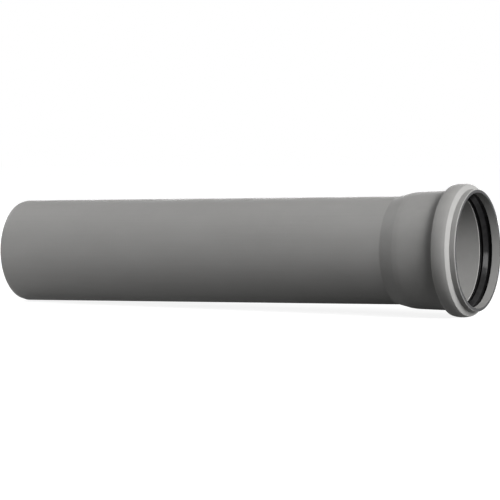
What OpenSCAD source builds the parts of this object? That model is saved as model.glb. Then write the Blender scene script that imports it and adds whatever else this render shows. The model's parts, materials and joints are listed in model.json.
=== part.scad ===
// Socketed plastic drainage pipe with the rubber seal ring in its socket.
// It lies as it would on a level floor, resting on the crown of the bead and on the corner
// of the spigot's bevel, so its axis leans a little.
// +X points from the spigot end to the socket and +Z is up. The origin is on the floor,
// below the middle of the overall box.

/* [Pipe] */
// Outside diameter of the pipe
pipe_d = 110; // [108:0.5:111]
// Wall thickness of the pipe
pipe_wall = 3.4; // [2.7:0.1:4]
// Overall length from the spigot end to the mouth of the socket
overall_length = 536; // [300:2:2000]
// Length of the bevel on the spigot end
bevel_length = 4; // [2:0.5:8]
// Depth of the bevel on the spigot end
bevel_depth = 1; // [0.5:0.1:2]

/* [Socket] */
// Diameter of the bore that takes the spigot of the next pipe
bore_d = 111; // [110.8:0.1:111.2]
// Distance from the mouth to the flare, where the straight bore ends
flare_at = 69.4; // [67:0.2:80]
// Length of the flare between the socket and the pipe
flare_length = 14.8; // [12:0.1:20]
// Outside diameter where the flare ends and eases into the socket
flare_d = 117.2; // [116.8:0.1:117.6]
// Radius of the round where the flare ends
flare_round = 10; // [2:1:15]
// Distance from the mouth to the back of the socket's long taper
socket_back = 63.6; // [60:0.2:64]
// Outside diameter at the back of the socket's long taper
socket_back_d = 118.6; // [118.2:0.1:119]
// Outside diameter of the socket where the bead begins
socket_front_d = 121; // [119.8:0.1:121.6]
// Radius of the round at the back of the socket's long taper
socket_round = 30; // [5:5:35]

/* [Bead] */
// Outside diameter at the two edges of the bead over the seal
bead_edge_d = 132.2; // [131.4:0.2:133]
// Slant of the bead's flanks, rising from its edges to the crown
bead_flank = 14; // [10:1:15]
// Radius of the crown between the flanks
bead_crown = 24; // [10:2:24]
// Distance from the mouth to the front edge of the bead
bead_front = 9; // [8.8:0.1:9.2]
// Distance from the mouth to the back edge of the bead
bead_back = 23.8; // [23.4:0.1:24.4]
// Length of the slope behind the bead's back edge
bead_back_slope = 1; // [0.5:0.1:2]
// Radius of the round on the bead's edges
bead_round = 0.8; // [0.3:0.1:1.2]

/* [Mouth] */
// Outside diameter of the collar in front of the bead
collar_d = 122.8; // [121.8:0.2:123.4]
// Length of the collar in front of the bead's shoulder
collar_length = 6.2; // [5.4:0.1:6.6]
// Inside diameter at the mouth
mouth_d = 116; // [115.6:0.1:116.4]
// Radius of the round on the mouth's outer edge
mouth_round = 1.2; // [0.4:0.1:1.6]

/* [Seal groove] */
// Inside diameter where the mouth's wall ends at the groove
groove_lip_d = 115.6; // [115.2:0.1:115.6]
// Diameter of the groove's floor
groove_d = 125.6; // [124.8:0.2:126]
// Distance from the mouth to the groove's front edge
groove_front = 8.3; // [8.1:0.1:8.5]
// Distance from the mouth to the front of the groove's floor
floor_front = 10.6; // [10.4:0.1:11]
// Distance from the mouth to the back of the groove's floor
floor_back = 20.4; // [20:0.1:20.6]
// Distance from the mouth to the groove's back edge, where the bore begins
groove_back = 21.2; // [21:0.1:21.6]

/* [Seal ring] */
// Inside diameter of the ring's body in front of the lip
body_d = 119; // [118.6:0.1:119.6]
// Inside diameter of the ridge where the lip's slope begins
ridge_d = 117.6; // [117:0.1:118]
// Distance from the mouth to the ridge
ridge_at = 12.6; // [12:0.1:13]
// Radius of the round on the ridge
ridge_round = 0.5; // [0.2:0.1:0.5]
// Smallest inside diameter, at the lip's edge
lip_d = 111.4; // [111.2:0.1:112]
// Distance from the mouth to the lip's edge
lip_at = 17; // [16.6:0.1:17.2]
// Radius of the round on the lip's edge
lip_round = 0.4; // [0.2:0.1:0.5]
// Slant of the lip's back, measured along the axis
lip_undercut = 0.8; // [0.4:0.1:1]
// Diameter at the bottom of the gap behind the lip
gap_d = 115.2; // [114.4:0.2:116]
// Inside diameter of the heel behind the gap
heel_d = 112.4; // [112:0.1:113]
// Distance from the mouth to the heel
heel_at = 19.4; // [19:0.1:19.8]
// Radius of the round on the heel's edge
heel_round = 0.3; // [0.1:0.1:0.4]

/* [Hidden] */

$fn = 180;
round_steps = 6;
edge_round = 0.4;

pipe_r = pipe_d / 2;
pipe_bore_r = pipe_r - pipe_wall;
spigot_r = pipe_r - bevel_depth;
bore_r = bore_d / 2;
flare_r = flare_d / 2;
socket_back_r = socket_back_d / 2;
socket_front_r = socket_front_d / 2;
bead_edge_r = bead_edge_d / 2;
collar_r = collar_d / 2;
mouth_r = mouth_d / 2;
groove_lip_r = groove_lip_d / 2;
groove_r = groove_d / 2;
body_r = body_d / 2;
ridge_r = ridge_d / 2;
lip_r = lip_d / 2;
gap_r = gap_d / 2;
heel_r = heel_d / 2;

// The corner where the bead's two flanks would meet without the crown's round
crown_at = (bead_front + bead_back) / 2;
crown_corner_r = bead_edge_r + (bead_back - bead_front) / 2 * tan(bead_flank);

// The lean at which the bead's crown and the bevel's corner touch the same floor
crown_centre = [overall_length - crown_at - bevel_length,
                crown_corner_r - bead_crown / cos(bead_flank) - pipe_r];
lean = atan2(crown_centre.y, crown_centre.x) + asin(bead_crown / norm(crown_centre));

// The ends of the overall box along X, measured from the bevel's corner
box_back = -bevel_length * cos(lean) - spigot_r * sin(lean);
box_front = (overall_length - mouth_round - bevel_length) * cos(lean)
            + (collar_r - mouth_round) * sin(lean) + mouth_round;

function unit(v) = v / norm(v);

// The corner b between a and c, rounded to radius r by points on an arc
function rounded_corner(a, b, c, r) =
    r == 0 ? [b] :
    let (to_a = unit(a - b),
         to_c = unit(c - b),
         half = acos(to_a * to_c) / 2,
         reach = r / tan(half),
         centre = b + unit(to_a + to_c) * r / sin(half),
         from = b + to_a * reach - centre,
         to = b + to_c * reach - centre,
         first = atan2(from.y, from.x),
         turn = (atan2(to.y, to.x) - first + 540) % 360 - 180)
    [for (i = [0 : round_steps])
        centre + r * [cos(first + turn * i / round_steps), sin(first + turn * i / round_steps)]];

// A closed outline from corners written as [radius, distance from the mouth, rounding],
// with the distances counted from the spigot end instead
function outline(corners) =
    let (n = len(corners),
         at = [for (c = corners) [c[0], overall_length - c[1]]])
    [for (i = [0 : n - 1])
        each rounded_corner(at[(i + n - 1) % n], at[i], at[(i + 1) % n], corners[i][2])];

// Point on the groove's front or back wall at a radius, as [radius, distance from the mouth]
function on_wall(edge, floor_end, r) =
    edge + (floor_end - edge) * (r - edge[0]) / (floor_end[0] - edge[0]);

// Turns a section about the axis and lays it on the floor
module lying(corners) {
    translate([-(box_back + box_front) / 2, 0, pipe_r * cos(lean)])
        rotate([0, -lean, 0])
            translate([-bevel_length, 0, 0])
                rotate([0, 90, 0])
                    rotate_extrude()
                        polygon(outline(corners));
}

module pipe() {
    flare_end = flare_at + flare_length;
    outside = [
        [spigot_r, overall_length, 0],
        [pipe_r, overall_length - bevel_length, 0],
        [pipe_r, flare_end, edge_round],
        [flare_r, flare_at, flare_round],
        [socket_back_r, socket_back, socket_round],
        [socket_front_r, bead_back + bead_back_slope, edge_round],
        [bead_edge_r, bead_back, bead_round],
        [crown_corner_r, crown_at, bead_crown],
        [bead_edge_r, bead_front, bead_round],
        [collar_r, collar_length, edge_round],
        [collar_r, 0, mouth_round]
    ];
    inside = [
        [mouth_r, 0, edge_round],
        [groove_lip_r, groove_front, 0],
        [groove_r, floor_front, 0],
        [groove_r, floor_back, 0],
        [bore_r, groove_back, 0],
        [bore_r, flare_at, 0],
        [pipe_bore_r, flare_end, 0],
        [pipe_bore_r, overall_length, 0]
    ];
    color("gray")
        lying(concat(outside, inside));
}

module seal_ring() {
    front = on_wall([groove_lip_r, groove_front], [groove_r, floor_front], body_r);
    back = on_wall([bore_r, groove_back], [groove_r, floor_back], heel_r);
    lip_back = lip_at + lip_round;
    color("black")
        lying([
            [groove_r, floor_back, 0],
            [groove_r, floor_front, 0],
            [front[0], front[1], 0],
            [body_r, ridge_at, 0],
            [ridge_r, ridge_at, ridge_round],
            [lip_r, lip_at, lip_round],
            [lip_r, lip_back, 0],
            [gap_r, lip_back + lip_undercut, 0],
            [gap_r, heel_at, 0],
            [heel_r, heel_at, heel_round],
            [back[0], back[1], 0]
        ]);
}

pipe();
seal_ring();
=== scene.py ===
import json
import math

import bpy
from mathutils import Matrix, Vector


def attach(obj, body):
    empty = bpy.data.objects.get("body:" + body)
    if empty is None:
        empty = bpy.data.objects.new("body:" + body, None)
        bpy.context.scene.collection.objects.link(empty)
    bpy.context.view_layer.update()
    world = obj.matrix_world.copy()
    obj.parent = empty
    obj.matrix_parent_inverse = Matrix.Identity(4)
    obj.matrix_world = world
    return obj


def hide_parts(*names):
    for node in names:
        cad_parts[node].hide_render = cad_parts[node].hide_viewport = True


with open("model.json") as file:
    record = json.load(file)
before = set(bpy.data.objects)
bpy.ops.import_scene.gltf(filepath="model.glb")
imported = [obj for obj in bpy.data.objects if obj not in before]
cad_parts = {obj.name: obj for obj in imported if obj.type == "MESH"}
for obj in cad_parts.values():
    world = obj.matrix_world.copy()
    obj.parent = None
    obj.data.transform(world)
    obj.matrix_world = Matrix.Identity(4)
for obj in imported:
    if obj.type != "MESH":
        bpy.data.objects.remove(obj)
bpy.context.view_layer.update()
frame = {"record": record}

# the pipe's own axis and its fits, from the frame: the axis leans a little on the floor
mounts = {mount["name"]: mount for mount in frame["record"]["mounts"]}
socketBore = mounts["socket_bore"]
pipeAxis = Vector(socketBore["axis"]).normalized()
pipeRadius = mounts["spigot"]["dims"]["r_mm"]
boreRadius = socketBore["dims"]["r_mm"]
boreLength = socketBore["dims"]["length_mm"]


def deselectAll():
    if bpy.context.mode != "OBJECT":
        bpy.ops.object.mode_set(mode="OBJECT")
    bpy.ops.object.select_all(action="DESELECT")


def makeActive(piece):
    deselectAll()
    piece.select_set(True)
    bpy.context.view_layer.objects.active = piece


def roundReach(before, corner, after, radius):
    # how far a rounding of this radius runs along each side of the corner
    toBefore = (Vector(before) - Vector(corner)).normalized()
    toAfter = (Vector(after) - Vector(corner)).normalized()
    return radius / math.tan(toBefore.angle(toAfter) / 2)


def selectRing(piece, radius, height):
    # the one loop of edges at this radius and height
    near = 1e-5
    bpy.ops.mesh.select_all(action="DESELECT")
    bpy.ops.object.mode_set(mode="OBJECT")
    onRing = [abs(v.co.z - height) < near and abs(v.co.xy.length - radius) < near
              for v in piece.data.vertices]
    for edge in piece.data.edges:
        edge.select = onRing[edge.vertices[0]] and onRing[edge.vertices[1]]
    bpy.ops.object.mode_set(mode="EDIT")
    bpy.ops.mesh.select_mode(type="EDGE")


def turnedPiece(name, section, segments):
    # a ring of edges is drawn round the section, closed on itself, and its corners are rounded;
    # each corner is its radius, distance from the mouth, rounding and steps of the rounding
    rings = [(radius / 1000, -distance / 1000) for radius, distance, _, _ in section]
    firstRadius, firstHeight = rings[0]
    deselectAll()
    bpy.ops.mesh.primitive_circle_add(vertices=segments, radius=firstRadius, location=(0, 0, firstHeight))
    piece = bpy.context.object
    piece.name = name
    bpy.ops.object.transform_apply(location=True, rotation=True, scale=True)
    bpy.ops.object.mode_set(mode="EDIT")
    bpy.ops.mesh.select_mode(type="EDGE")
    bpy.ops.mesh.select_all(action="SELECT")
    for (radius, height), (nextRadius, nextHeight) in zip(rings, rings[1:]):
        bpy.ops.mesh.extrude_region_move(TRANSFORM_OT_translate={"value": (0, 0, nextHeight - height)})
        grow = nextRadius / radius
        bpy.ops.transform.resize(value=(grow, grow, 1), center_override=(0, 0, nextHeight))
    bpy.ops.mesh.select_non_manifold()
    bpy.ops.mesh.bridge_edge_loops()
    for i, (_, _, rounding, steps) in enumerate(section):
        if rounding > 0:
            reach = roundReach(rings[i - 1], rings[i], rings[(i + 1) % len(rings)], rounding / 1000)
            selectRing(piece, *rings[i])
            bpy.ops.mesh.bevel(offset=reach, offset_type="OFFSET", segments=steps,
                               profile=0.5, affect="EDGES", clamp_overlap=False)
    bpy.ops.mesh.select_all(action="SELECT")
    bpy.ops.mesh.normals_make_consistent(inside=False)
    bpy.ops.object.mode_set(mode="OBJECT")
    return piece


def layOnAxis(piece):
    # from standing with its mouth at the origin to lying along the pipe's axis
    turn = Vector((0, 0, 1)).rotation_difference(pipeAxis).to_matrix().to_4x4()
    piece.matrix_world = Matrix.Translation(mouthCentre) @ turn
    makeActive(piece)
    bpy.ops.object.transform_apply(location=True, rotation=True, scale=True)


def smoothFinish(piece):
    sharpFrom = 35      # degrees
    makeActive(piece)
    bpy.ops.object.shade_smooth_by_angle(angle=math.radians(sharpFrom))
    evenNormals = piece.modifiers.new("evenNormals", "WEIGHTED_NORMAL")
    evenNormals.weight = 100
    evenNormals.keep_sharp = True
    bpy.ops.object.modifier_apply(modifier=evenNormals.name)


def feed(tree, value, socket):
    if isinstance(value, bpy.types.NodeSocket):
        tree.links.new(value, socket)
    else:
        socket.default_value = value


def addNode(tree, kind, inputs=None, **settings):
    node = tree.nodes.new("ShaderNode" + kind)
    for name, value in settings.items():
        setattr(node, name, value)
    for name, value in (inputs or {}).items():
        feed(tree, value, node.inputs[name])
    return node


def mathOn(tree, operation, first, second=0.0):
    return addNode(tree, "Math", {0: first, 1: second}, operation=operation).outputs[0]


def weightedSum(tree, terms):
    # every value times its weight, added up
    total = 0.0
    for value, weight in terms:
        total = mathOn(tree, "ADD", total, mathOn(tree, "MULTIPLY", value, weight))
    return total


def spread(tree, value, lowest, highest, toLowest=0.0, toHighest=1.0, kind="LINEAR"):
    inputs = {"Value": value, "From Min": lowest, "From Max": highest,
              "To Min": toLowest, "To Max": toHighest}
    return addNode(tree, "MapRange", inputs, interpolation_type=kind).outputs["Result"]


def toned(colour, factor=1.0):
    # a colour made lighter or darker, and opaque
    return tuple(part * factor for part in colour) + (1,)


def blend(tree, amount, first, second):
    mix = addNode(tree, "Mix", {0: amount, 6: first, 7: second}, data_type="RGBA")
    return mix.outputs[2]


def noiseOn(tree, place, detail=2.0, roughness=0.5):
    inputs = {"Vector": place, "Scale": 1.0, "Detail": detail, "Roughness": roughness}
    return addNode(tree, "TexNoise", inputs).outputs["Fac"]


def stretched(tree, place, along, across):
    # the place divided by the size that a pattern has along the pipe and across it
    perAlong = mathOn(tree, "DIVIDE", 1.0, along)
    perAcross = mathOn(tree, "DIVIDE", 1.0, across)
    sizes = addNode(tree, "CombineXYZ", {"X": perAlong, "Y": perAcross, "Z": perAcross}).outputs[0]
    return addNode(tree, "VectorMath", {0: place, 1: sizes}, operation="MULTIPLY").outputs["Vector"]


def newGroup(name, inputs, outputs):
    tree = bpy.data.node_groups.new(name, "ShaderNodeTree")
    for label, kind, value in inputs:
        socket = tree.interface.new_socket(name=label, in_out="INPUT", socket_type="NodeSocket" + kind)
        if kind == "Float":
            socket.default_value = value
    for label, kind in outputs:
        tree.interface.new_socket(name=label, in_out="OUTPUT", socket_type="NodeSocket" + kind)
    start = tree.nodes.new("NodeGroupInput")
    end = tree.nodes.new("NodeGroupOutput")
    return tree, start.outputs, end.inputs


def useGroup(tree, name, inputs=None):
    node = tree.nodes.new("ShaderNodeGroup")
    node.node_tree = bpy.data.node_groups[name]
    for label, value in (inputs or {}).items():
        feed(tree, value, node.inputs[label])
    return node.outputs


def makePipePlaces():
    # where a point is on the pipe: millimetres behind the mouth, and out from the axis
    tree, _, ends = newGroup(
        "pipePlaces", [], [("Place", "Vector"), ("Behind", "Float"), ("Radius", "Float")])
    lean = math.asin(pipeAxis.z)
    where = addNode(tree, "TexCoord").outputs["Object"]
    fromMouth = {"Vector": where, "Location": mouthCentre, "Rotation": (0, -lean, 0),
                 "Scale": (0.001, 0.001, 0.001)}      # from metres to millimetres
    centred = addNode(tree, "Mapping", fromMouth, vector_type="TEXTURE").outputs["Vector"]
    parts = addNode(tree, "SeparateXYZ", {0: centred}).outputs
    flat = addNode(tree, "CombineXYZ", {"Y": parts["Y"], "Z": parts["Z"]}).outputs[0]
    out = addNode(tree, "VectorMath", {0: flat}, operation="LENGTH").outputs["Value"]
    feed(tree, centred, ends["Place"])
    feed(tree, mathOn(tree, "MULTIPLY", parts["X"], -1.0), ends["Behind"])
    feed(tree, out, ends["Radius"])


def makeZoneBand():
    # a mask that is 1 between two places, with a fade centred on each of them
    tree, starts, ends = newGroup(
        "zoneBand",
        [("Value", "Float", 0.0), ("From", "Float", 0.0), ("To", "Float", 1.0), ("Fade", "Float", 0.1)],
        [("Mask", "Float")])
    pastFrom = mathOn(tree, "SUBTRACT", starts["Value"], starts["From"])
    beforeTo = mathOn(tree, "SUBTRACT", starts["To"], starts["Value"])
    rises = mathOn(tree, "DIVIDE", pastFrom, starts["Fade"])
    falls = mathOn(tree, "DIVIDE", beforeTo, starts["Fade"])
    nearer = mathOn(tree, "MINIMUM", rises, falls)
    feed(tree, spread(tree, nearer, -0.5, 0.5, kind="SMOOTHSTEP"), ends["Mask"])


def makeMouldGrain():
    # fine grain and the slow waviness of a cooled surface
    tree, starts, ends = newGroup(
        "mouldGrain",
        [("Place", "Vector", None), ("Grain Size", "Float", 0.5), ("Wave Size", "Float", 8.0)],
        [("Grain", "Float"), ("Waves", "Float")])
    fine = stretched(tree, starts["Place"], starts["Grain Size"], starts["Grain Size"])
    slow = stretched(tree, starts["Place"], starts["Wave Size"], starts["Wave Size"])
    feed(tree, noiseOn(tree, fine, detail=3.0, roughness=0.6), ends["Grain"])
    feed(tree, noiseOn(tree, slow, detail=1.0), ends["Waves"])


def makeDrawnStreaks():
    # the lengthwise lines that a die leaves, and slow clouds of shade
    tree, starts, ends = newGroup(
        "drawnStreaks",
        [("Place", "Vector", None), ("Width", "Float", 1.5), ("Length", "Float", 200.0),
         ("Cloud Size", "Float", 60.0)],
        [("Lines", "Float"), ("Clouds", "Float")])
    timesLonger = 2.0      # a cloud's length over its width
    lines = stretched(tree, starts["Place"], starts["Length"], starts["Width"])
    cloudLength = mathOn(tree, "MULTIPLY", starts["Cloud Size"], timesLonger)
    clouds = stretched(tree, starts["Place"], cloudLength, starts["Cloud Size"])
    feed(tree, noiseOn(tree, lines, detail=3.0, roughness=0.65), ends["Lines"])
    feed(tree, noiseOn(tree, clouds, detail=3.0, roughness=0.55), ends["Clouds"])


def makeHandlingMarks():
    # thin scratches along and around, in worn patches, and tiny nicks
    tree, starts, ends = newGroup(
        "handlingMarks",
        [("Place", "Vector", None), ("Scratch Width", "Float", 0.25), ("Scratch Length", "Float", 40.0),
         ("Patch Size", "Float", 45.0)],
        [("Scratches", "Float"), ("Nicks", "Float")])
    alongPeaks = (0.70, 0.76)      # only these high parts of a noise show
    aroundPeaks = (0.71, 0.77)
    patchPeaks = (0.45, 0.65)
    aroundLength = 0.5             # the scratches around are shorter
    nickSpacing = 7.0
    nickRadii = (0.03, 0.06)       # in nick spacings
    place, width, length = starts["Place"], starts["Scratch Width"], starts["Scratch Length"]
    shorter = mathOn(tree, "MULTIPLY", length, aroundLength)
    alongNoise = noiseOn(tree, stretched(tree, place, length, width), detail=1.0)
    aroundNoise = noiseOn(tree, stretched(tree, place, width, shorter), detail=1.0)
    patchNoise = noiseOn(tree, stretched(tree, place, starts["Patch Size"], starts["Patch Size"]))
    along = spread(tree, alongNoise, *alongPeaks)
    around = spread(tree, aroundNoise, *aroundPeaks)
    worn = spread(tree, patchNoise, *patchPeaks)
    cells = addNode(tree, "TexVoronoi",
                    {"Vector": stretched(tree, place, nickSpacing, nickSpacing), "Scale": 1.0})
    dots = spread(tree, cells.outputs["Distance"], *nickRadii, toLowest=1.0, toHighest=0.0)
    lines = mathOn(tree, "MAXIMUM", along, around)
    feed(tree, mathOn(tree, "MULTIPLY", lines, worn), ends["Scratches"])
    feed(tree, mathOn(tree, "MULTIPLY", dots, worn), ends["Nicks"])


def makeDustFilm():
    # a thin film on what faces up, in soft clouds
    tree, starts, ends = newGroup(
        "dustFilm",
        [("Place", "Vector", None), ("Cloud Size", "Float", 30.0)],
        [("Film", "Float")])
    leastUpward = 0.2      # how far a face has to look up before it holds dust
    cloudPeaks = (0.35, 0.7)
    normal = addNode(tree, "NewGeometry").outputs["Normal"]
    facing = addNode(tree, "SeparateXYZ", {0: normal}).outputs["Z"]
    upward = spread(tree, facing, leastUpward, 1.0, kind="SMOOTHSTEP")
    cloudPlace = stretched(tree, starts["Place"], starts["Cloud Size"], starts["Cloud Size"])
    clouds = spread(tree, noiseOn(tree, cloudPlace, detail=4.0, roughness=0.6), *cloudPeaks)
    feed(tree, mathOn(tree, "MULTIPLY", upward, clouds), ends["Film"])


def makeToolRings():
    # the fine rings that a saw or a turning tool leaves, from a distance across them
    tree, starts, ends = newGroup(
        "toolRings",
        [("Place", "Vector", None), ("Across", "Float", 0.0), ("Pitch", "Float", 0.3)],
        [("Rings", "Float")])
    driftSize = 25.0     # millimetres
    driftReach = 4.0     # pitches
    steps = mathOn(tree, "DIVIDE", starts["Across"], starts["Pitch"])
    drift = noiseOn(tree, stretched(tree, starts["Place"], driftSize, driftSize), detail=1.0)
    shifted = mathOn(tree, "ADD", steps, mathOn(tree, "MULTIPLY", drift, driftReach))
    at = addNode(tree, "CombineXYZ", {"X": shifted, "Y": drift}).outputs[0]
    feed(tree, noiseOn(tree, at, detail=2.0, roughness=0.6), ends["Rings"])


def makeSharedFinishes():
    makePipePlaces()
    makeZoneBand()
    makeMouldGrain()
    makeDrawnStreaks()
    makeHandlingMarks()
    makeDustFilm()
    makeToolRings()
    print("shared finishes made:", len(bpy.data.node_groups), "node groups")


def ringsAcross(tree, place, across, pitch):
    return useGroup(tree, "toolRings", {"Place": place, "Across": across, "Pitch": pitch})["Rings"]


def newFinish(name, roughness, specular):
    material = bpy.data.materials.new(name)
    material.use_nodes = True
    tree = material.node_tree
    shader = tree.nodes["Principled BSDF"]
    shader.inputs["Roughness"].default_value = roughness
    shader.inputs["Specular IOR Level"].default_value = specular
    return material, tree, shader


def dressShader(tree, shader, colour, rough, height):
    # the height is in millimetres
    limited = addNode(tree, "Clamp", {"Value": rough}).outputs["Result"]
    bump = addNode(tree, "Bump", {"Strength": 1.0, "Distance": 0.001, "Height": height})
    feed(tree, colour, shader.inputs["Base Color"])
    feed(tree, limited, shader.inputs["Roughness"])
    feed(tree, bump.outputs["Normal"], shader.inputs["Normal"])


# sizes in millimetres; every place along the pipe is measured back from the mouth
pipeSet = {
    "segments": 256,
    "length": 536.0,
    "wall": 3.4,
    "bevelLength": 4.0,
    "bevelDepth": 1.0,
    "flareBack": 84.2,
    "flareFront": 69.4,
    "flareRadius": 58.6,
    "flareRound": 10.0,
    "flareInnerRound": 4.0,
    "socketBack": 63.6,
    "socketBackRadius": 59.3,
    "socketFrontRadius": 60.5,
    "socketRound": 30.0,
    "beadBack": 23.8,
    "beadBackSlope": 1.0,
    "beadFront": 9.0,
    "beadEdgeRadius": 66.1,
    "beadFlank": 14.0,             # degrees
    "beadCrown": 24.0,
    "beadRound": 0.8,
    "collarLength": 6.2,
    "collarRadius": 61.4,
    "mouthRadius": 58.0,
    "mouthRound": 1.2,
    "mouthNarrowing": 0.2,         # from the mouth to where the groove begins
    "grooveFront": 8.3,
    "grooveFloorFront": 10.6,
    "grooveFloorBack": 20.4,
    "grooveRadius": 62.8,
    "grooveRound": 0.3,
    "grooveLipRound": 0.25,
    "boreFront": 21.2,
    "edgeRound": 0.4,              # on every other edge
    "cutEdge": 0.3,                # the small round left on a sawn edge

    "colour": (0.212, 0.2105, 0.206),
    "darkShade": 0.955,            # how far the pattern darkens and lightens it
    "paleShade": 1.05,
    "cloudShare": 0.5,             # how much of the pattern each part makes
    "fineShare": 0.28,
    "grainShare": 0.22,
    "patternRange": (0.35, 0.65),  # the part of it that is spread over the shades
    "scratchColour": (0.30, 0.30, 0.295),
    "markStrength": 0.35,
    # painted shade: both sawn end faces get this near-black colour, standing in for shade on the mouth's
    # end face
    "cutColour": (0.045, 0.045, 0.046),
    "cutDark": 0.6,                # how far the tool's rings darken and lighten a sawn face
    "cutPale": 1.5,
    "dustColour": (0.42, 0.40, 0.37),
    "dustAmount": 0.06,
    "specular": 0.05,
    "roughness": 0.50,
    "darkRougher": -0.05,          # what is added to the roughness
    "paleRougher": 0.06,
    "socketRougher": -0.06,
    "markRougher": 0.3,
    "dustRougher": 0.15,
    "cutRougher": 0.2,
    "grainSize": 0.55,
    "waveSize": 9.0,
    "streakWidth": 1.3,
    "streakLength": 240.0,
    "cloudSize": 38.0,
    "ringPitch": 0.35,
    "grainDepth": 0.012,
    "waveDepth": 0.05,
    "streakDepth": 0.012,
    "scratchDepth": -0.02,
    "ringDepth": 0.03,
    "mouthCutDepth": 0.2,          # how far each finish reaches, and the length of its fade
    "mouthCutFade": 0.15,
    "spigotCutDepth": 0.1,
    "spigotCutFade": 0.1,
    "bevelFade": 0.3,
    "socketFade": 6.0,
}

mouthCentre = Vector(socketBore["pos_m"]) + pipeAxis * (pipeSet["boreFront"] + boreLength / 2) / 1000


def makePipe():
    size = pipeSet
    edgeRound = size["edgeRound"]
    grooveRound = size["grooveRound"]
    innerRound = size["flareInnerRound"]
    cut = size["cutEdge"]
    spigotEnd = size["length"]
    throat = pipeRadius - size["wall"]
    bead = size["beadEdgeRadius"]
    beadMiddle = (size["beadBack"] + size["beadFront"]) / 2
    crownCorner = bead + (size["beadBack"] - beadMiddle) * math.tan(math.radians(size["beadFlank"]))
    # radius, distance from the mouth, rounding, steps of the rounding
    outside = [
        (pipeRadius - size["bevelDepth"], spigotEnd, cut / 2, 2),
        (pipeRadius, spigotEnd - size["bevelLength"], edgeRound, 3),
        (pipeRadius, size["flareBack"], edgeRound, 3),
        (size["flareRadius"], size["flareFront"], size["flareRound"], 6),
        (size["socketBackRadius"], size["socketBack"], size["socketRound"], 8),
        (size["socketFrontRadius"], size["beadBack"] + size["beadBackSlope"], edgeRound, 3),
        (bead, size["beadBack"], size["beadRound"], 5),
        (crownCorner, beadMiddle, size["beadCrown"], 10),
        (bead, size["beadFront"], size["beadRound"], 5),
        (size["collarRadius"], size["collarLength"], edgeRound, 3),
        (size["collarRadius"], 0.0, size["mouthRound"], 6),
    ]
    inside = [
        (size["mouthRadius"], 0.0, edgeRound, 4),
        (size["mouthRadius"] - size["mouthNarrowing"], size["grooveFront"], size["grooveLipRound"], 3),
        (size["grooveRadius"], size["grooveFloorFront"], grooveRound, 2),
        (size["grooveRadius"], size["grooveFloorBack"], grooveRound, 2),
        (boreRadius, size["boreFront"], edgeRound, 3),
        (boreRadius, size["flareFront"], innerRound, 4),
        (throat, size["flareBack"], innerRound, 4),
        (throat, spigotEnd, cut, 3),
    ]
    pipe = turnedPiece("pipeWall", outside + inside, size["segments"])
    layOnAxis(pipe)
    smoothFinish(pipe)
    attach(pipe, "root")
    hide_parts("pipe")
    print("pipe wall turned:", len(pipe.data.polygons), "faces")
    return pipe


def pipeZones(tree, behind, radius):
    # masks of the sawn ends, the turned bevel and the moulded socket
    size = pipeSet
    end = size["length"]
    beyond = 1.0      # how far outside the surface the zones end

    def band(value, start, stop, fade):
        return useGroup(tree, "zoneBand", {"Value": value, "From": start, "To": stop, "Fade": fade})["Mask"]
    mouthCut = band(behind, -beyond, size["mouthCutDepth"], size["mouthCutFade"])
    spigotCut = band(behind, end - size["spigotCutDepth"], end + beyond, size["spigotCutFade"])
    cutFaces = mathOn(tree, "MAXIMUM", mouthCut, spigotCut)
    bevelLengthwise = band(behind, end - size["bevelLength"], end, size["bevelFade"])
    bevelOutwards = band(radius, pipeRadius - size["wall"] / 2, pipeRadius + beyond, size["bevelFade"])
    bevel = mathOn(tree, "MULTIPLY", bevelLengthwise, bevelOutwards)
    socket = band(behind, -beyond, size["flareBack"], size["socketFade"])
    return cutFaces, bevel, socket


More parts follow.
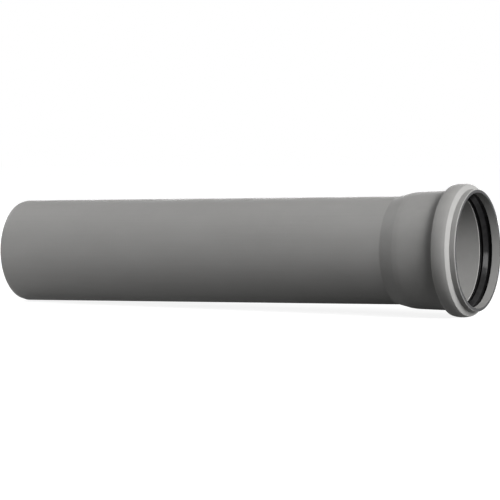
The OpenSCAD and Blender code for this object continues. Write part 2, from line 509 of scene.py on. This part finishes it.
def greyPipePlastic():
    finish = pipeSet
    material, tree, shader = newFinish("greyPipePlastic", finish["roughness"], finish["specular"])
    at = useGroup(tree, "pipePlaces")
    place, behind, radius = at["Place"], at["Behind"], at["Radius"]
    cutFaces, bevel, socket = pipeZones(tree, behind, radius)
    grain = useGroup(tree, "mouldGrain", {
        "Place": place, "Grain Size": finish["grainSize"], "Wave Size": finish["waveSize"]})
    streaks = useGroup(tree, "drawnStreaks", {
        "Place": place, "Width": finish["streakWidth"], "Length": finish["streakLength"],
        "Cloud Size": finish["cloudSize"]})
    marks = useGroup(tree, "handlingMarks", {"Place": place})
    film = useGroup(tree, "dustFilm", {"Place": place})["Film"]
    cutRings = ringsAcross(tree, place, radius, finish["ringPitch"])
    bevelRings = ringsAcross(tree, place, behind, finish["ringPitch"])

    # the drawn wall has streaks, and the moulded socket has slow waves in their place
    drawnWall = mathOn(tree, "SUBTRACT", 1.0, socket)
    lines = mathOn(tree, "MULTIPLY", drawnWall, streaks["Lines"])
    waves = mathOn(tree, "MULTIPLY", socket, grain["Waves"])
    pattern = weightedSum(tree, [
        (streaks["Clouds"], finish["cloudShare"]),
        (mathOn(tree, "ADD", lines, waves), finish["fineShare"]),
        (grain["Grain"], finish["grainShare"]),
    ])
    anyMark = mathOn(tree, "MAXIMUM", marks["Scratches"], marks["Nicks"])
    marked = mathOn(tree, "MULTIPLY", anyMark, finish["markStrength"])
    dusted = mathOn(tree, "MULTIPLY", film, finish["dustAmount"])

    shade = spread(tree, pattern, *finish["patternRange"])
    colour = blend(tree, shade, toned(finish["colour"], finish["darkShade"]),
                   toned(finish["colour"], finish["paleShade"]))
    colour = blend(tree, marked, colour, toned(finish["scratchColour"]))
    colour = blend(tree, dusted, colour, toned(finish["dustColour"]))
    # painted shade: the sawn end faces are painted near-black in place of shade, and the tool's rings
    # lighten and darken that colour
    cutFacesPaintedDark = blend(tree, cutRings, toned(finish["cutColour"], finish["cutDark"]),
                     toned(finish["cutColour"], finish["cutPale"]))
    colour = blend(tree, cutFaces, colour, cutFacesPaintedDark)

    plainRough = spread(tree, pattern, *finish["patternRange"],
                        toLowest=finish["roughness"] + finish["darkRougher"],
                        toHighest=finish["roughness"] + finish["paleRougher"])
    rough = weightedSum(tree, [
        (plainRough, 1.0),
        (socket, finish["socketRougher"]),
        (marked, finish["markRougher"]),
        (film, finish["dustRougher"]),
        (cutFaces, finish["cutRougher"]),
    ])
    height = weightedSum(tree, [
        (grain["Grain"], finish["grainDepth"]),
        (grain["Waves"], finish["waveDepth"]),
        (lines, finish["streakDepth"]),
        (marked, finish["scratchDepth"]),
        (mathOn(tree, "MULTIPLY", cutRings, cutFaces), finish["ringDepth"]),
        (mathOn(tree, "MULTIPLY", bevelRings, bevel), finish["ringDepth"]),
    ])
    dressShader(tree, shader, colour, rough, height)
    print("grey plastic made")
    return material


# millimetres, measured as on the pipe
sealSet = {
    "segments": 256,
    "bodyRadius": 59.5,
    "bodyFront": 9.1,
    "bodyRound": 0.15,
    "ridgeRadius": 58.8,
    "ridgeAt": 12.6,
    "ridgeRound": 0.8,
    "ridgeFootRound": 0.1,
    "lipRadius": 55.7,
    "lipAt": 17.0,
    "lipRound": 0.35,
    "lipEdge": 0.4,                # the flat of the lip's edge
    "lipEdgeRound": 0.05,
    "gapRadius": 57.6,
    "gapFront": 18.2,
    "gapFrontRound": 0.3,
    "gapBackRound": 0.2,
    "heelRadius": 56.2,
    "heelAt": 19.4,
    "heelRound": 0.3,
    "heelBack": 21.1,

    "colour": (0.0045, 0.0045, 0.0047),
    "wornColour": (0.009, 0.009, 0.0094),
    "wornRange": (0.35, 0.7),
    "dustColour": (0.16, 0.155, 0.15),
    "dustAmount": 0.05,
    "dustSize": 14.0,
    "specular": 0.10,
    "roughness": 0.15,
    "grainRange": (0.3, 0.7),
    "grainRougher": (-0.03, 0.05),      # what is added to the roughness
    "scratchRougher": 0.12,
    "dustRougher": 0.12,
    "grainSize": 0.35,
    "waveSize": 5.0,
    "scratchWidth": 0.15,
    "scratchLength": 8.0,
    "patchSize": 12.0,
    "ringPitch": 0.5,
    "grainDepth": 0.006,
    "waveDepth": 0.02,
    "ringDepth": 0.004,
    "scratchDepth": -0.01,
}


def makeSeal():
    size = sealSet
    groove = pipeSet["grooveRadius"]
    grooveRound = pipeSet["grooveRound"]
    section = [
        (groove, pipeSet["grooveFloorBack"], grooveRound, 2),
        (groove, pipeSet["grooveFloorFront"], grooveRound, 2),
        (size["bodyRadius"], size["bodyFront"], size["bodyRound"], 2),
        (size["bodyRadius"], size["ridgeAt"], size["ridgeFootRound"], 2),
        (size["ridgeRadius"], size["ridgeAt"], size["ridgeRound"], 8),
        (size["lipRadius"], size["lipAt"], size["lipRound"], 5),
        (size["lipRadius"], size["lipAt"] + size["lipEdge"], size["lipEdgeRound"], 2),
        (size["gapRadius"], size["gapFront"], size["gapFrontRound"], 3),
        (size["gapRadius"], size["heelAt"], size["gapBackRound"], 2),
        (size["heelRadius"], size["heelAt"], size["heelRound"], 4),
        (size["heelRadius"], size["heelBack"], 0.0, 0),
    ]
    seal = turnedPiece("sealRing", section, size["segments"])
    layOnAxis(seal)
    smoothFinish(seal)
    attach(seal, "root")
    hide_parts("seal_ring")
    print("seal ring turned:", len(seal.data.polygons), "faces")
    return seal


def blackSealRubber():
    finish = sealSet
    material, tree, shader = newFinish("blackSealRubber", finish["roughness"], finish["specular"])
    at = useGroup(tree, "pipePlaces")
    place = at["Place"]
    grain = useGroup(tree, "mouldGrain", {
        "Place": place, "Grain Size": finish["grainSize"], "Wave Size": finish["waveSize"]})
    scratches = useGroup(tree, "handlingMarks", {
        "Place": place, "Scratch Width": finish["scratchWidth"],
        "Scratch Length": finish["scratchLength"], "Patch Size": finish["patchSize"]})["Scratches"]
    film = useGroup(tree, "dustFilm", {"Place": place, "Cloud Size": finish["dustSize"]})["Film"]
    rings = ringsAcross(tree, place, at["Behind"], finish["ringPitch"])
    dusted = mathOn(tree, "MULTIPLY", film, finish["dustAmount"])

    worn = spread(tree, grain["Waves"], *finish["wornRange"])
    colour = blend(tree, worn, toned(finish["colour"]), toned(finish["wornColour"]))
    colour = blend(tree, dusted, colour, toned(finish["dustColour"]))
    lessRough, moreRough = finish["grainRougher"]
    plainRough = spread(tree, grain["Grain"], *finish["grainRange"],
                        toLowest=finish["roughness"] + lessRough,
                        toHighest=finish["roughness"] + moreRough)
    rough = weightedSum(tree, [
        (plainRough, 1.0),
        (scratches, finish["scratchRougher"]),
        (film, finish["dustRougher"]),
    ])
    height = weightedSum(tree, [
        (grain["Grain"], finish["grainDepth"]),
        (grain["Waves"], finish["waveDepth"]),
        (rings, finish["ringDepth"]),
        (scratches, finish["scratchDepth"]),
    ])
    dressShader(tree, shader, colour, rough, height)
    print("black rubber made")
    return material


# degrees and metres, with the lens, the sensor and the camera's aim in millimetres
cameraSet = {
    "azimuth": 27.55,
    "elevation": 3.015,
    "distance": 2.432,
    "aimBehindMouth": 257.94,
    "aimUp": 0.34,
    "lens": 166.39,
    "sensorWidth": 36,
    "seesFrom": 0.05,
    "seesTo": 50,
}


def directionTo(azimuth, elevation):
    # from the object towards a place round it: azimuth 0 is in front, 90 is at the mouth's side
    turn = math.radians(azimuth)
    rise = math.radians(elevation)
    return Vector((math.sin(turn) * math.cos(rise), -math.cos(turn) * math.cos(rise), math.sin(rise)))


def makeCamera():
    back = directionTo(cameraSet["azimuth"], cameraSet["elevation"])
    raised = Vector((0, 0, cameraSet["aimUp"] / 1000))
    aim = mouthCentre - pipeAxis * cameraSet["aimBehindMouth"] / 1000 + raised
    data = bpy.data.cameras.new("studioCamera")
    camera = bpy.data.objects.new("studioCamera", data)
    bpy.context.scene.collection.objects.link(camera)
    camera.location = aim + back * cameraSet["distance"]
    camera.rotation_euler = (-back).to_track_quat("-Z", "Y").to_euler()
    data.lens = cameraSet["lens"]
    data.sensor_width = cameraSet["sensorWidth"]
    data.clip_start = cameraSet["seesFrom"]
    data.clip_end = cameraSet["seesTo"]
    bpy.context.scene.camera = camera
    print("camera placed")


# metres, degrees and watts; every lamp is square, and the studio's aim at the middle of the pipe
lampAim = (0, 0, 0.06)
studioLights = {
    "frontRight": {"azimuth": 63, "elevation": 17, "distance": 2.2, "wide": 0.8, "watts": 33.5},
    "mouthHigh": {"azimuth": 75, "elevation": 25, "distance": 2.2, "wide": 0.65, "watts": 41.5},
    "mouthSide": {"azimuth": 85, "elevation": 10, "distance": 2.2, "wide": 0.65, "watts": 28.0},
    "leftTop": {"azimuth": -60, "elevation": 50, "distance": 2.4, "wide": 1.2, "watts": 15.5},
    "leftBehind": {"azimuth": -100, "elevation": 30, "distance": 2.4, "wide": 1.2, "watts": 34.0},
    "behind": {"azimuth": 205, "elevation": 8, "distance": 2.4, "wide": 1.2, "watts": 30.0},
}
nearLights = {
    "nearLeftLow": {"at": (-0.85, -0.45, 0.05), "target": (-0.25, 0, 0.05), "wide": 0.2, "watts": 4.4},
}


def placeLamp(name, at, target, wide, watts):
    data = bpy.data.lights.new(name, "AREA")
    data.shape = "SQUARE"
    data.size = wide
    data.energy = watts
    lamp = bpy.data.objects.new(name, data)
    bpy.context.scene.collection.objects.link(lamp)
    lamp.location = at
    lamp.rotation_euler = (Vector(target) - Vector(at)).to_track_quat("-Z", "Y").to_euler()


def makeLights():
    for name, lamp in studioLights.items():
        at = Vector(lampAim) + directionTo(lamp["azimuth"], lamp["elevation"]) * lamp["distance"]
        placeLamp(name, at, lampAim, lamp["wide"], lamp["watts"])
    for name, lamp in nearLights.items():
        placeLamp(name, lamp["at"], lamp["target"], lamp["wide"], lamp["watts"])
    print("lights placed:", len(studioLights) + len(nearLights))


def seenByEye(tree):
    # 1 for the camera, reflections and glass, 0 for the light that falls on the object
    path = addNode(tree, "LightPath").outputs
    either = mathOn(tree, "MAXIMUM", path["Is Camera Ray"], path["Is Glossy Ray"])
    return mathOn(tree, "MAXIMUM", either, path["Is Transmission Ray"])


worldSet = {
    "seen": 1.0,        # a white background
    "fill": 0.0,        # light from all round
}


def makeWorld():
    world = bpy.data.worlds.new("whiteStudio")
    bpy.context.scene.world = world
    world.use_nodes = True
    tree = world.node_tree
    background = tree.nodes["Background"]
    background.inputs["Color"].default_value = (1, 1, 1, 1)
    strength = spread(tree, seenByEye(tree), 0.0, 1.0, worldSet["fill"], worldSet["seen"])
    feed(tree, strength, background.inputs["Strength"])
    print("world made")


# metres
floorSet = {
    "segments": 96,
    "radius": 9.0,
    "seenColour": (0.25, 0.25, 0.25),
    "glowNear": 0.86,              # a white floor that still takes a soft shadow
    "glowFar": 1.0,
    "nearReach": 0.35,             # from the middle of the pipe
    "farReach": 1.3,
    "shadeAtSpigot": 0.36,         # how much of the glow a painted shade below the pipe takes away, seen only in reflections
    "shadeAtMouth": 1.0,
    "shadeBehind": 0.02,           # how far its middle line lies behind the pipe's
    "shadeCore": 0.01,             # half the width of its full part, and of the whole of it
    "shadeHalf": 0.07,
    "shadeEndsInside": 0.02,       # where it begins to fade at the pipe's ends, and where it is gone
    "shadeEndsOutside": 0.04,
    "bounceAtSpigot": 0.25,        # what it sends back to the underside of the pipe
    "bounceAtMouth": 0.08,
}
halfLength = pipeSet["length"] / 2000


def floorPlace(tree):
    where = addNode(tree, "TexCoord").outputs["Object"]
    parts = addNode(tree, "SeparateXYZ", {0: where}).outputs
    return where, parts["X"], parts["Y"]


def alongPipe(tree, x, atSpigot, atMouth):
    return spread(tree, x, -halfLength, halfLength, atSpigot, atMouth)


def floorGlow(tree):
    # the floor's own white; in reflections only, a painted shade darkens it in a band right below the pipe,
    # stronger towards the mouth
    where, x, y = floorPlace(tree)
    reach = addNode(tree, "VectorMath", {0: where}, operation="LENGTH").outputs["Value"]
    glow = spread(tree, reach, floorSet["nearReach"], floorSet["farReach"],
                  floorSet["glowNear"], floorSet["glowFar"], kind="SMOOTHSTEP")
    offLine = mathOn(tree, "ABSOLUTE", mathOn(tree, "SUBTRACT", y, floorSet["shadeBehind"]))
    below = spread(tree, offLine, floorSet["shadeCore"], floorSet["shadeHalf"],
                   toLowest=1.0, toHighest=0.0, kind="SMOOTHSTEP")
    offMiddle = mathOn(tree, "ABSOLUTE", x)
    within = spread(tree, offMiddle, halfLength - floorSet["shadeEndsInside"],
                    halfLength + floorSet["shadeEndsOutside"],
                    toLowest=1.0, toHighest=0.0, kind="SMOOTHSTEP")
    # painted shade: the band below the pipe darkens the glow for reflections only
    mirrored = addNode(tree, "LightPath").outputs["Is Glossy Ray"]
    paintedShadeBand = mathOn(tree, "MULTIPLY", mathOn(tree, "MULTIPLY", below, within), mirrored)
    shade = alongPipe(tree, x, floorSet["shadeAtSpigot"], floorSet["shadeAtMouth"])
    lost = mathOn(tree, "MULTIPLY", paintedShadeBand, shade)
    return mathOn(tree, "MULTIPLY", glow, mathOn(tree, "SUBTRACT", 1.0, lost))


def floorBounce(tree):
    _, x, _ = floorPlace(tree)
    return alongPipe(tree, x, floorSet["bounceAtSpigot"], floorSet["bounceAtMouth"])


def paleFloor():
    material = bpy.data.materials.new("paleFloor")
    material.use_nodes = True
    tree = material.node_tree
    tree.nodes.clear()
    glow = addNode(tree, "Emission", {"Strength": floorGlow(tree)}).outputs[0]
    seen = addNode(tree, "BsdfDiffuse", {"Color": toned(floorSet["seenColour"])}).outputs[0]
    bounce = addNode(tree, "BsdfDiffuse", {"Color": floorBounce(tree)}).outputs[0]
    whole = addNode(tree, "AddShader", {0: glow, 1: seen}).outputs[0]
    surface = addNode(tree, "MixShader", {0: seenByEye(tree), 1: bounce, 2: whole}).outputs[0]
    feed(tree, surface, addNode(tree, "OutputMaterial").inputs["Surface"])
    return material


def makeFloor():
    deselectAll()
    bpy.ops.mesh.primitive_circle_add(vertices=floorSet["segments"], radius=floorSet["radius"],
                                      fill_type="NGON", location=(0, 0, 0))
    floor = bpy.context.object
    floor.name = "studioFloor"
    floor.data.materials.append(paleFloor())
    print("floor laid")


makeSharedFinishes()
makeCamera()
pipe = makePipe()
pipe.data.materials.append(greyPipePlastic())
seal = makeSeal()
seal.data.materials.append(blackSealRubber())
makeFloor()
makeWorld()
makeLights()
bpy.context.scene.view_settings.view_transform = "Standard"
